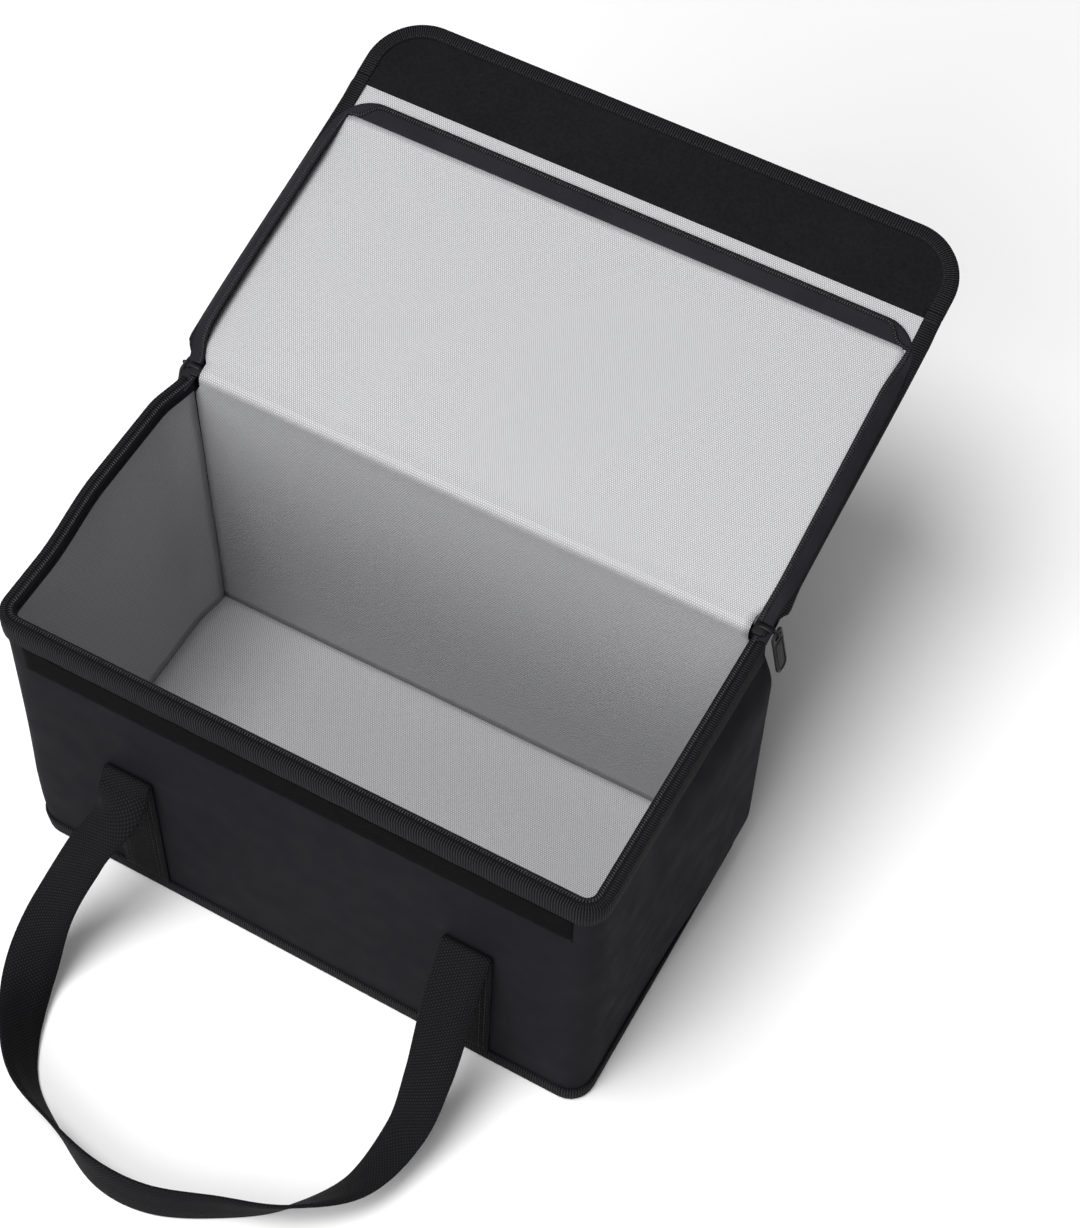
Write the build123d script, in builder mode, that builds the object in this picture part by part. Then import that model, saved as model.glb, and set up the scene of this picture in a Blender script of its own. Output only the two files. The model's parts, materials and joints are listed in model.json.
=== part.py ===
from build123d import *
from math import cos, radians, sin
import os

# A padded, fire-resistant battery bag with an open zip-round lid, standing on its base.
# Frame: origin at the centre of the base, on the floor; X along the front, Y towards the
# hinge at the back, Z up. All sizes are in millimetres.

# Driving dimensions of the body
width = 360.0
depth = 192.0
height = 222.0
front_radius = 13.0
back_radius = 8.0

# The wall's three layers, outside to inside
fabric = 1.2
padding = 3.6
lining = 1.2
wall = fabric + padding + lining

# Zipper, bindings and webbing
tape = 1.0
inner_tape = 0.8
inner_tape_height = 17.0
rim_band = 1.6
rim_band_height = 14.0
tooth_height = 1.6
tooth_width = 2.6
tooth_inset = 3.6
tape_end = depth / 2 - 8.0
base_band = 1.6
base_band_height = 11.0
base_band_lift = 0.4
web_width = 30.0
web = 2.0
strip = 1.2

# Lid, flap and their hinges; along the lid, distances run from its hinge line
lid_angle = 164.5
lid_gap = 5.4
lid_start = 11.0
lining_start = 2.0
slider_notch_end = 9.0
lid_half_width = 182.0
lid_pad_end = 188.0
lining_half_width = 176.5
lining_end = 174.0
lid_teeth_start = 24.0
lid_corner_radius = 16.0
edge_band = 3.0
edge_band_lift = 0.6
flap_clearance = 4.5
flap_hinge = depth + flap_clearance
flap_gap = 1.0
flap_end = 246.0
flap_radius = 34.0
hook_start = flap_hinge + 2.0
hook_margin = 6.0

# Handles
handle_half_span = 107.0
fold_height = 120.0
fold_reach = web + 1.5

rim = height
wall_top = height - tape
seam_y = depth / 2 - back_radius


def outline(inset):
    """The body's plan moved in by inset: large corners at the front, small ones at the back."""
    with BuildSketch() as plan:
        Rectangle(width - 2 * inset, depth - 2 * inset)
        fillet(plan.vertices().group_by(Axis.Y)[0], front_radius - inset)
        fillet(plan.vertices().group_by(Axis.Y)[-1], back_radius - inset)
    return plan.sketch


def ring(outer_inset, inner_inset, x_from=-width, x_to=width, y_from=-depth, y_to=depth):
    """Draws the strip of plan between two insets that lies in a rectangle of the plan."""
    add(outline(outer_inset))
    add(outline(inner_inset), mode=Mode.SUBTRACT)
    with Locations(((x_from + x_to) / 2, (y_from + y_to) / 2)):
        Rectangle(x_to - x_from, y_to - y_from, mode=Mode.INTERSECT)


def save(piece, name):
    """Labels a finished piece and writes its STEP file."""
    piece.part.label = name
    export_step(piece.part, "parts/" + name + ".step")


os.makedirs("parts", exist_ok=True)

# ---------------------------------------------------------------- base
with BuildPart() as outer_base:
    with BuildSketch():
        add(outline(0))
    extrude(amount=fabric)
save(outer_base, "outer_base")

with BuildPart() as base_padding:
    with BuildSketch(Plane.XY.offset(fabric)):
        add(outline(fabric))
    extrude(amount=padding)
save(base_padding, "base_padding")

with BuildPart() as base_lining:
    with BuildSketch(Plane.XY.offset(fabric + padding)):
        add(outline(fabric + padding))
    extrude(amount=lining)
save(base_lining, "base_lining")

with BuildPart() as base_binding:
    with BuildSketch(Plane.XY.offset(base_band_lift)):
        ring(-base_band, 0)
    extrude(amount=base_band_height - base_band_lift)
save(base_binding, "base_binding")

# ---------------------------------------------------------------- walls
# One band of outer fabric makes the front and both sides; the back is a panel of its own.
with BuildPart() as outer_wall:
    with BuildSketch(Plane.XY.offset(fabric)):
        ring(0, fabric, y_to=seam_y)
    extrude(amount=wall_top - fabric)
save(outer_wall, "outer_wall")

with BuildPart() as outer_back:
    with BuildSketch(Plane.XY.offset(fabric)):
        ring(0, fabric, y_from=seam_y)
    extrude(amount=wall_top - fabric)
save(outer_back, "outer_back")

front_arc_y = -depth / 2 + front_radius
padding_bounds = {
    "front_padding": {"y_to": front_arc_y},
    "left_padding": {"x_to": 0, "y_from": front_arc_y, "y_to": seam_y},
    "right_padding": {"x_from": 0, "y_from": front_arc_y, "y_to": seam_y},
    "back_padding": {"y_from": seam_y},
}
for name, bounds in padding_bounds.items():
    with BuildPart() as wall_padding:
        with BuildSketch(Plane.XY.offset(fabric + padding)):
            ring(fabric, fabric + padding, **bounds)
        extrude(amount=wall_top - fabric - padding)
    save(wall_padding, name)

with BuildPart() as wall_lining:
    with BuildSketch(Plane.XY.offset(wall)):
        ring(fabric + padding, wall, y_to=seam_y)
    extrude(amount=wall_top - wall)
save(wall_lining, "wall_lining")

with BuildPart() as back_lining:
    with BuildSketch(Plane.XY.offset(wall)):
        ring(fabric + padding, wall, y_from=seam_y)
    extrude(amount=wall_top - wall)
save(back_lining, "back_lining")

# ---------------------------------------------------------------- rim of the body
fold_half_length = 171.0


def side_strips(x_from, x_to, y_end):
    """Carries a strip of the rim on over the back wall, up to the hinge, on both sides."""
    with BuildSketch() as strips:
        for side in (-1, 1):
            with Locations((side * (x_from + x_to) / 2, (tape_end + y_end) / 2)):
                Rectangle(x_to - x_from, y_end - tape_end)
        add(outline(0), mode=Mode.INTERSECT)
    add(strips.sketch)


with BuildPart() as rim_zipper_tape:
    with BuildSketch(Plane.XY.offset(wall_top)):
        ring(0, wall + inner_tape, y_to=tape_end)
        side_strips(fold_half_length + 0.4, width / 2, depth / 2)
    extrude(amount=tape)
    with BuildSketch(Plane.XY.offset(wall_top)):
        ring(wall, wall + inner_tape, y_to=tape_end)
    extrude(amount=-inner_tape_height)
save(rim_zipper_tape, "rim_zipper_tape")

with BuildPart() as rim_zipper_teeth:
    with BuildSketch(Plane.XY.offset(rim)):
        ring(tooth_inset, tooth_inset + tooth_width, y_to=tape_end)
        side_strips(width / 2 - tooth_inset - tooth_width, width / 2 - tooth_inset, depth / 2 - 2.0)
    extrude(amount=tooth_height)
save(rim_zipper_teeth, "rim_zipper_teeth")

with BuildPart() as rim_binding:
    with BuildSketch(Plane.XY.offset(rim - rim_band_height)):
        ring(-rim_band, 0, y_to=tape_end)
    extrude(amount=rim_band_height)
save(rim_binding, "rim_binding")

# The folded layers of fabric along the top of the back wall, which the lid turns on
fold_height_above_wall = 5.0
with BuildPart() as hinge_strip:
    with BuildSketch(Plane.XY.offset(wall_top)):
        with Locations((0, depth / 2 - wall / 2)):
            Rectangle(2 * fold_half_length, wall)
    extrude(amount=fold_height_above_wall)
    fillet(hinge_strip.edges().filter_by(Axis.X).group_by(Axis.Z)[-1], 2.0)
save(hinge_strip, "hinge_strip")

# Loop half of the touch fastener, on the front under the rim binding
loop_strip_half_length = 152.0
loop_strip_height = 24.0
with BuildPart() as front_loop_strip:
    with BuildSketch(Plane.XZ.offset(depth / 2)):
        with Locations((0, rim - rim_band_height - loop_strip_height / 2)):
            Rectangle(2 * loop_strip_half_length, loop_strip_height)
    extrude(amount=strip)
save(front_loop_strip, "front_loop_strip")

# ---------------------------------------------------------------- lid
# The lid stands open; its plane's x runs along the hinge, y away from it, z out of the lining.
lid_turn = radians(lid_angle)
lid_plane = Plane(
    origin=(0, depth / 2, rim + lid_gap),
    x_dir=(1, 0, 0),
    z_dir=(0, -sin(lid_turn), -cos(lid_turn)),
)


def lid_rectangle(half_width, start, end, mode=Mode.ADD):
    """Draws a rectangle across the lid, between two distances from the hinge line."""
    with Locations((0, (start + end) / 2)):
        Rectangle(2 * half_width, end - start, mode=mode)


def lid_slab(half_width, start, end, radius):
    """A lid layer's outline: square at the hinge, rounded at the front."""
    with BuildSketch() as slab:
        lid_rectangle(half_width, start, end)
        fillet(slab.vertices().group_by(Axis.Y)[-1], radius)
    return slab.sketch


with BuildPart() as lid_outer:
    with BuildSketch(lid_plane.offset(-wall)):
        lid_rectangle(lid_half_width, lid_start, lid_pad_end)
    extrude(amount=fabric)
save(lid_outer, "lid_outer")

with BuildPart() as lid_padding:
    with BuildSketch(lid_plane.offset(fabric - wall)):
        add(lid_slab(lid_half_width - 2, lid_start, lid_pad_end - 1, lid_corner_radius))
    extrude(amount=padding)
save(lid_padding, "lid_padding")

with BuildPart() as lid_lining:
    with BuildSketch(lid_plane.offset(-lining)):
        add(lid_slab(lining_half_width, lining_start, lining_end, lid_corner_radius / 2))
        for side in (-1, 1):
            with Locations((side * lining_half_width, slider_notch_end / 2)):
                Rectangle(2 * (lining_half_width - fold_half_length), slider_notch_end, mode=Mode.SUBTRACT)
    extrude(amount=lining)
save(lid_lining, "lid_lining")

with BuildPart() as lid_zipper_tape:
    with BuildSketch(lid_plane.offset(-lining)):
        lid_rectangle(lid_half_width, lid_start, lid_pad_end)
        add(
            lid_slab(lining_half_width, lid_start, lining_end, lid_corner_radius / 2),
            mode=Mode.SUBTRACT,
        )
    extrude(amount=lining)
save(lid_zipper_tape, "lid_zipper_tape")

teeth_edge = lining_half_width + tooth_width
teeth_end = lid_pad_end - 0.5
with BuildPart() as lid_zipper_teeth:
    with BuildSketch(lid_plane):
        add(lid_slab(teeth_edge, lid_teeth_start, teeth_end, lid_corner_radius))
        add(
            lid_slab(
                lining_half_width,
                lid_teeth_start,
                teeth_end - tooth_width,
                lid_corner_radius - tooth_width,
            ),
            mode=Mode.SUBTRACT,
        )
    extrude(amount=tooth_height)
save(lid_zipper_teeth, "lid_zipper_teeth")

# Thin web of fabric between the padded part and the flap's fold line
with BuildPart() as lid_front_web:
    with BuildSketch(lid_plane.offset(-fabric - lining)):
        lid_rectangle(lid_half_width, lid_pad_end, flap_hinge - flap_gap)
    extrude(amount=fabric + lining)
save(lid_front_web, "lid_front_web")

lid_band_x = lid_half_width + edge_band / 2
lid_band_length = lid_pad_end + 2 - lid_start
with BuildPart() as lid_side_bindings:
    with BuildSketch(lid_plane.offset(-wall)):
        with Locations(*[(x, lid_start + lid_band_length / 2) for x in (-lid_band_x, lid_band_x)]):
            Rectangle(edge_band, lid_band_length)
    extrude(amount=wall + edge_band_lift)
save(lid_side_bindings, "lid_side_bindings")

# ---------------------------------------------------------------- flap
flap_start = flap_hinge + flap_gap
flap_edge = flap_end - edge_band
flap_layer = lid_slab(lid_half_width, flap_start, flap_edge, flap_radius - edge_band)

with BuildPart() as flap_outer:
    with BuildSketch(lid_plane.offset(-fabric - lining)):
        add(flap_layer)
    extrude(amount=fabric)
save(flap_outer, "flap_outer")

with BuildPart() as flap_lining:
    with BuildSketch(lid_plane.offset(-lining)):
        add(flap_layer)
    extrude(amount=lining)
save(flap_lining, "flap_lining")

with BuildPart() as flap_hook_panel:
    with BuildSketch(lid_plane):
        add(
            lid_slab(
                lid_half_width - hook_margin / 2,
                hook_start,
                flap_end - hook_margin,
                flap_radius - hook_margin,
            )
        )
    extrude(amount=strip)
save(flap_hook_panel, "flap_hook_panel")

with BuildPart() as flap_binding:
    with BuildSketch(lid_plane.offset(-fabric - lining - edge_band_lift)):
        add(lid_slab(lid_half_width + edge_band, flap_start, flap_end, flap_radius))
        add(flap_layer, mode=Mode.SUBTRACT)
    extrude(amount=fabric + lining + 2 * edge_band_lift)
save(flap_binding, "flap_binding")

# ---------------------------------------------------------------- sliders and pulls
slider_length = 12.0
slider_y = depth / 2
teeth_x = width / 2 - tooth_inset - tooth_width / 2
slider_clearance = 0.4
cheek = 1.6
plate = 1.2
plate_end = width / 2 + 2.4
plate_bottom = rim + tooth_height + slider_clearance
inner_cheek_x = teeth_x - tooth_width / 2 - slider_clearance - cheek
outer_cheek_x = teeth_x + tooth_width / 2 + slider_clearance

with BuildPart() as right_slider:
    with BuildSketch(Plane.XZ.offset(-slider_y - slider_length / 2)):
        with Locations(((inner_cheek_x + plate_end) / 2, plate_bottom + plate / 2)):
            Rectangle(plate_end - inner_cheek_x, plate)
        for cheek_x in (inner_cheek_x, outer_cheek_x):
            with Locations((cheek_x + cheek / 2, (rim + slider_clearance + plate_bottom) / 2)):
                Rectangle(cheek, plate_bottom - rim - slider_clearance)
    extrude(amount=slider_length)
    fillet(right_slider.edges().filter_by(Axis.Z).group_by(Axis.X)[0], 2.0)
save(right_slider, "right_slider")

with BuildPart() as left_slider:
    mirror(right_slider.part, about=Plane.YZ)
save(left_slider, "left_slider")

# The pull hangs just outside the slider, leans outwards and turns on its rounded top
pull_thickness = 1.6
pull_width = 11.0
pull_length = 30.0
pull_lean = 12.0
pull_x = plate_end + 0.5 + pull_thickness / 2
pull_pivot_z = plate_bottom
pull_plane = Plane(
    origin=(pull_x, slider_y, pull_pivot_z),
    x_dir=(0, 1, 0),
    z_dir=(cos(radians(pull_lean)), 0, sin(radians(pull_lean))),
)
with BuildPart() as right_pull:
    with BuildSketch(pull_plane.offset(-pull_thickness / 2)):
        with Locations((0, -pull_length / 2)):
            tab = Rectangle(pull_width, pull_length)
        fillet(tab.vertices().group_by(Axis.Y)[0], 4.0)
    extrude(amount=pull_thickness)
    with BuildSketch(Plane.XZ.offset(-slider_y - pull_width / 2)):
        with Locations((pull_x, pull_pivot_z)):
            Circle(pull_thickness / 2)
    extrude(amount=pull_width)
save(right_pull, "right_pull")

with BuildPart() as left_pull:
    mirror(right_pull.part, about=Plane.YZ)
save(left_pull, "left_pull")

# ---------------------------------------------------------------- handles
# Each leg is sewn up the wall to fold_height; the free loop folds over there and lies in front.
anchor_bottom = base_band_height + 0.5
anchor_top = fold_height - 0.5
anchor_places = {"left": -handle_half_span, "right": handle_half_span}
for side, anchor_x in anchor_places.items():
    with BuildPart() as front_anchor:
        with BuildSketch(Plane.XZ.offset(depth / 2)):
            with Locations((anchor_x, (anchor_bottom + anchor_top) / 2)):
                Rectangle(web_width, anchor_top - anchor_bottom)
        extrude(amount=web)
    save(front_anchor, "front_" + side + "_anchor")
    with BuildPart() as back_anchor:
        mirror(front_anchor.part, about=Plane.XZ)
    save(back_anchor, "back_" + side + "_anchor")

# The front loop's route: x, y, z of the middle of the webbing and its turn from lying flat.
# It comes down from the left fold, stands on its edge along the floor, and goes up again.
# Next to each fold it runs straight away from the wall, so that it can swing there.
fold_y = -depth / 2 - fold_reach
handle_route = [
    (-handle_half_span, fold_y, fold_height, 0),
    (-handle_half_span, -114, 101, 0),
    (-119, -134, 77, 0),
    (-131, -162, 43, 0),
    (-128, -190, 17, 14),
    (-112, -219, 13, 46),
    (-92, -242, 14.5, 64),
    (-62, -258, 15.5, 82),
    (-30, -267, 15.5, 98),
    (5, -267, 15.5, 99),
    (38, -256, 15.5, 89),
    (69, -234, 14.2, 62),
    (96, -202, 11.5, 36),
    (108, -171, 21, 22),
    (110, -145, 51, 12),
    (handle_half_span, -117, 93, 0),
    (handle_half_span, fold_y, fold_height, 0),
]


def webbing_planes(route):
    """One plane across the webbing at each point of its route, x along the webbing's width."""
    points = [Vector(x, y, z) for x, y, z, turn in route]
    last = len(points) - 1
    planes = []
    for i, point in enumerate(points):
        along = (points[min(i + 1, last)] - points[max(i - 1, 0)]).normalized()
        level = along.cross(Vector(0, 0, 1)).normalized()
        across = level.rotate(Axis((0, 0, 0), along), -route[i][3])
        planes.append(Plane(origin=point, x_dir=across, z_dir=along))
    return planes


with BuildPart() as front_handle:
    for section in webbing_planes(handle_route):
        with BuildSketch(section):
            Rectangle(web_width, web)
    loft(ruled=True)
save(front_handle, "front_handle")

with BuildPart() as back_handle:
    mirror(front_handle.part, about=Plane.XZ)
save(back_handle, "back_handle")
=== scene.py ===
import json
import math

import bmesh
import bpy
import numpy as np
from mathutils import Matrix, Vector


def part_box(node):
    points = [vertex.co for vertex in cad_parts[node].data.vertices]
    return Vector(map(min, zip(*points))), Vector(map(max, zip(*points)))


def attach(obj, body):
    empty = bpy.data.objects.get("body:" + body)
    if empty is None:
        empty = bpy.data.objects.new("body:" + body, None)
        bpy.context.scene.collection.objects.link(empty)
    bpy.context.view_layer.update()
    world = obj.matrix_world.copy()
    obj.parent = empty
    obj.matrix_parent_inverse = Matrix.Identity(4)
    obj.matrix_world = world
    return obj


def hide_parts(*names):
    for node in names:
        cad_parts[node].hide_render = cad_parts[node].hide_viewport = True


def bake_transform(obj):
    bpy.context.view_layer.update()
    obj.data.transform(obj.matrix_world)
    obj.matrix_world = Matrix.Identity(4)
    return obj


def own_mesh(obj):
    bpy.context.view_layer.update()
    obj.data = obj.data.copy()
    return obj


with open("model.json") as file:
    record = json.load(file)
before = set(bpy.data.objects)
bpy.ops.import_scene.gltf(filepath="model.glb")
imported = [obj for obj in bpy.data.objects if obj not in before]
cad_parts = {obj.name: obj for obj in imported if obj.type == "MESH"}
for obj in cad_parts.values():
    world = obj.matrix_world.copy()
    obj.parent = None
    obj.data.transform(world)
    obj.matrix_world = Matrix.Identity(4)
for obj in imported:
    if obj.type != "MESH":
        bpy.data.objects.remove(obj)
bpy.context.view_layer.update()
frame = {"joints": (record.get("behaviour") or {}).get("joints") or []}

# The padded battery bag's looks, built round the CAD frame. Sizes are in metres, and lengths
# that are written in millimetres are multiplied by MM.
MM = 0.001
RANDOM = np.random.default_rng(7)

# ---------------------------------------------------------------- sizes read from the frame
wall_low, wall_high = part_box("outer_wall")
rim_low, rim_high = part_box("rim_zipper_tape")
teeth_low, teeth_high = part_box("rim_zipper_teeth")
band_low, band_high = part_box("rim_binding")
base_band_low, base_band_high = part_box("base_binding")
loop_low, loop_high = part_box("front_loop_strip")
anchor_low, anchor_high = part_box("front_right_anchor")
slider_low, slider_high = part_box("right_slider")
pull_low, pull_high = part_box("right_pull")

HALF_WIDTH = wall_high.x
FRONT_Y = wall_low.y
BACK_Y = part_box("outer_back")[1].y
WALL_TOP = wall_high.z
RIM = rim_high.z
FRONT_RADIUS = 13 * MM
BACK_RADIUS = 8 * MM
SEAM_Y = BACK_Y - BACK_RADIUS
WALL = 6 * MM
PADDED_WALL = 4.8 * MM
LINING_FOOT = 6.2 * MM
TAPE_END = band_high.y

HINGE = Vector(next(j["pos_m"] for j in frame["joints"] if j["name"] == "lid_hinge"))
LID_ANGLE = math.radians(164.5)  # how far open the lid stands in the photo
LID_UP = Vector((0, -math.cos(LID_ANGLE), math.sin(LID_ANGLE)))
LID_NORMAL = Vector((0, -math.sin(LID_ANGLE), -math.cos(LID_ANGLE)))

LID_HALF_WIDTH = 182 * MM
LID_PAD_END = 188 * MM
LID_RADIUS = 16 * MM
LID_TAPE_RADIUS = 24 * MM
LID_EDGE = 185 * MM
LINING_HALF_WIDTH = 176.5 * MM
LINING_END = 174 * MM
FLAP_HINGE = 196.5 * MM
FLAP_END = 246 * MM
FLAP_RADIUS = 34 * MM
HOOK_START = 195.2 * MM
SHEET = 0.9 * MM
TAPE_SHEET = 0.7 * MM

# How far the soft walls and the lid stand away from the CAD's straight ones, as the photo shows.
FRONT_LEAN = 4.2 * MM
RIGHT_PUFF = 8.2 * MM
LEFT_BULGE_LEAST = 0.2 * MM
LEFT_BULGE_AT_RIM = 4.8 * MM
LEFT_BULGE_LOW = 6.2 * MM
LID_FLARE = 3.6 * MM

LOOP_WRAP = 15 * MM
WEB_WIDTH = 30 * MM
WEB = 2 * MM
HANDLE_X = 107 * MM
FOLD_Z = 120 * MM
COIL_PITCH = 1.55 * MM
COIL_WIDTH = 3.0 * MM
COIL_WIRE = 0.36 * MM
SLIDER_X = 175.1 * MM
SLIDER_Z = 224.2 * MM
SLIDER_PLATE = 1.1 * MM
PULL_PIVOT = (183.7 * MM, 224 * MM)
PULL_LEAN = math.radians(12)
PULL_LENGTH = 30 * MM
PULL_THICKNESS = 1.7 * MM
RING_RADIUS = 1.6 * MM
RING_WIRE = 0.5 * MM


# ---------------------------------------------------------------- shape helpers
def smoothstep(t):
    t = np.clip(t, 0, 1)
    return t * t * (3 - 2 * t)


def rise(value, start, end):
    """Goes smoothly from 0 where value is start to 1 where it is end, both given in mm."""
    return smoothstep((value / MM - start) / (end - start))


def front_lean(x, y, z):
    """How far the front wall leans out towards the floor, more at its right than at its left."""
    share = 0.25 + 0.75 * smoothstep((x + HALF_WIDTH) / (2 * HALF_WIDTH))
    return FRONT_LEAN * share * rise(z, 130, 0) * rise(y, -20, -70)


def right_puff(x, y, z):
    """How far the outer fabric stands out at the back of the right side. The lining stays put."""
    back = rise(y, 91.5, 93.5) * rise(x, 60, 170)
    height = rise(z, 0, 45) * rise(z, 214, 184)
    return RIGHT_PUFF * np.maximum(rise(x, 176, 179), back) * height * rise(y, -60, 50)


def left_bulge(x, y, z):
    """How far the left side stands out, more behind than in front and more low down."""
    behind = rise(y, -54, 6) * rise(z, 90, 200)
    low = rise(z, -30, 30) * np.clip((195 * MM - z) / (140 * MM), 0, 1)
    bulge = LEFT_BULGE_LEAST + LEFT_BULGE_AT_RIM * behind + LEFT_BULGE_LOW * low
    return bulge * rise(y, 91, 61) * rise(x, -60, -170)


def body_point(x, y, z):
    """Points of the body, from those of a straight box."""
    x, y, z = np.broadcast_arrays(np.asarray(x, float), y, z)
    return np.stack([x - left_bulge(x, y, z) + right_puff(x, y, z), y - front_lean(x, y, z), z], -1)


def lid_flare(x, v):
    """How far the left part of the lid spreads out towards the hinge."""
    return LID_FLARE * rise(x, -60, -170) * rise(v, 190, 20) * rise(v, 0, 14)


def lid_point(x, v, w):
    """Points of the lid: x along the hinge, v away from it, w out of the lining."""
    x, v, w = (a[..., None] for a in np.broadcast_arrays(x, v, w))
    x = x - lid_flare(x, v)
    return np.array(HINGE) + x * np.array((1.0, 0, 0)) + v * np.array(LID_UP) + w * np.array(LID_NORMAL)


def running_length(points):
    steps = np.linalg.norm(np.diff(points, axis=0), axis=-1)
    return np.concatenate([[0], np.cumsum(steps)])


class Route:
    """A line in plan with its outward normals and its length so far."""

    def __init__(self, points, normals):
        self.points = np.array(points)
        self.normals = np.array(normals)
        self.along = running_length(self.points)


def rounded_route(half_width, low, high, low_radius, high_radius, step, closed):
    """The outline of a rounded rectangle. An open one leaves out the high edge and its corners."""
    x, pi = half_width, math.pi
    points, normals = [], []

    def straight(start, end, normal):
        count = max(2, round(math.dist(start, end) / step) + 1)
        for t in np.linspace(0, 1, count):
            points.append(np.array(start) * (1 - t) + np.array(end) * t)
            normals.append(normal)

    def arc(cx, cy, radius, first, last):
        count = max(6, round(abs(last - first) * radius / step))
        for angle in np.linspace(first, last, count + 1)[1:-1]:
            normal = np.array((math.cos(angle), math.sin(angle)))
            points.append(np.array((cx, cy)) + radius * normal)
            normals.append(normal)

    r, s = low_radius, high_radius
    straight((-x, high - s), (-x, low + r), (-1.0, 0.0))
    arc(-x + r, low + r, r, pi, 1.5 * pi)
    straight((-x + r, low), (x - r, low), (0.0, -1.0))
    arc(x - r, low + r, r, 1.5 * pi, 2 * pi)
    straight((x, low + r), (x, high - s), (1.0, 0.0))
    if closed:
        arc(x - s, high - s, s, 0, 0.5 * pi)
        straight((x - s, high), (-x + s, high), (0.0, 1.0))
        arc(-x + s, high - s, s, 0.5 * pi, pi)
    return Route(points, normals)


def body_route(step, closed=True, end=None):
    """Round the body's outer face. An open route leaves out the back wall."""
    if closed:
        return rounded_route(HALF_WIDTH, FRONT_Y, BACK_Y, FRONT_RADIUS, BACK_RADIUS, step, True)
    return rounded_route(HALF_WIDTH, FRONT_Y, end or SEAM_Y, FRONT_RADIUS, 0, step, False)


def lid_route(half_width, start, end, radius, step):
    """Along the lid's left side from its start, over the front and down the right side, as x and v."""
    route = rounded_route(half_width, -end, -start, radius, 0, step, False)
    route.points = route.points * (1, -1)
    route.normals = route.normals * (1, -1)
    return route


def swept_points(route, profile, place):
    """Points of a profile carried along a route: rows along it, columns round the profile.
    The profile's first number is the distance outwards, its second the height."""
    profile = np.asarray(profile, float)
    if profile.ndim == 2:
        profile = np.broadcast_to(profile, (len(route.points),) + profile.shape)
    flat = route.points[:, None] + profile[..., :1] * route.normals[:, None]
    return place(flat[..., 0], flat[..., 1], profile[..., 1])


def rounded_strip(outer, inner, low, high, softness=0.35):
    """The profile of a strip of tape, whose corners are rounded, from its two faces and two edges."""
    corner = softness * (outer - inner)
    return [
        (outer, low + corner), (outer, low + (high - low) * 0.35),
        (outer, high - (high - low) * 0.35), (outer, high - corner),
        (outer - corner, high), (inner + corner, high), (inner, high - corner),
        (inner, low + corner), (inner + corner, low), (outer - corner, low),
    ]


def along_x(x, line):
    """Points with every x at each place of a line in y and z."""
    y, z = (np.broadcast_to(line[:, i, None], x.shape) for i in (0, 1))
    return np.stack([x, y, z], -1)


def put_on_body(piece, body, slot, *nodes):
    """Says which body a piece moves with, and hides the CAD nodes that it stands for. Its slot is not
    used.
    """
    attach(piece, body)
    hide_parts(*nodes)


def new_object(name, data):
    made = bpy.data.objects.new(name, data)
    bpy.context.scene.collection.objects.link(made)
    return made


def mesh_piece(name, vertices, faces, loop_uv, material):
    mesh = bpy.data.meshes.new(name)
    mesh.from_pydata([tuple(v) for v in vertices], [], faces)
    if loop_uv is not None:
        layer = mesh.uv_layers.new(name="UVMap")
        layer.data.foreach_set("uv", np.asarray(loop_uv, np.float32).ravel())
    mesh.polygons.foreach_set("use_smooth", [True] * len(mesh.polygons))
    mesh.materials.append(material)
    return new_object(name, mesh)


def grid_piece(name, points, material, ring=False, loop=False, caps=False, flat=None):
    """A mesh through a grid of points, rows by columns. ring joins the last column to the first,
    loop joins the last row to the first, caps closes both ends. Its UVs are lengths in metres,
    along the rows and columns, or flat's two numbers for each point."""
    points = np.asarray(points, float)
    rows, columns = points.shape[:2]
    across = np.concatenate([points, points[:, :1]], 1) if ring else points
    along = np.concatenate([points, points[:1]], 0) if loop else points
    v = running_length(np.swapaxes(across, 0, 1)[:, rows // 2])
    u = running_length(along[:, columns // 2])
    faces, uvs = [], []
    for i in range(rows - 1 + loop):
        for j in range(columns - 1 + ring):
            k, m = (i + 1) % rows, (j + 1) % columns
            faces.append((i * columns + j, k * columns + j, k * columns + m, i * columns + m))
            uvs += [(u[i], v[j]), (u[i + 1], v[j]), (u[i + 1], v[j + 1]), (u[i], v[j + 1])]
    if caps:
        faces.append(tuple(range(columns)))
        faces.append(tuple((rows - 1) * columns + j for j in reversed(range(columns))))
        uvs += [(0.0, v[j]) for j in range(columns)]
        uvs += [(u[-1], v[j]) for j in reversed(range(columns))]
    if flat is not None:
        places = np.asarray(flat, float).reshape(-1, 2)
        uvs = places[[corner for face in faces for corner in face]]
    piece = mesh_piece(name, points.reshape(-1, 3), faces, uvs, material)
    if ring:
        turn_outwards(piece)
    return piece


def turn_outwards(piece, weld=0.0):
    """Turns every face outwards, after joining points that are no further apart than weld."""
    work = bmesh.new()
    work.from_mesh(piece.data)
    if weld:
        bmesh.ops.remove_doubles(work, verts=work.verts, dist=weld)
    bmesh.ops.recalc_face_normals(work, faces=work.faces)
    work.to_mesh(piece.data)
    work.free()


def thicken(piece, thickness, offset=-1.0):
    solid = piece.modifiers.new("thickness", "SOLIDIFY")
    solid.thickness = thickness
    solid.offset = offset
    solid.use_even_offset = False
    return piece


def subdivide(piece, levels=1):
    smooth = piece.modifiers.new("smooth", "SUBSURF")
    smooth.levels = levels
    smooth.render_levels = levels
    return piece


def vertex_array(piece):
    co = np.empty(len(piece.data.vertices) * 3)
    piece.data.vertices.foreach_get("co", co)
    return co.reshape(-1, 3)


def set_vertices(piece, co):
    piece.data.vertices.foreach_set("co", np.asarray(co, np.float32).ravel())
    piece.data.update()


CLOTH_FRAMES = 20


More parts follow.
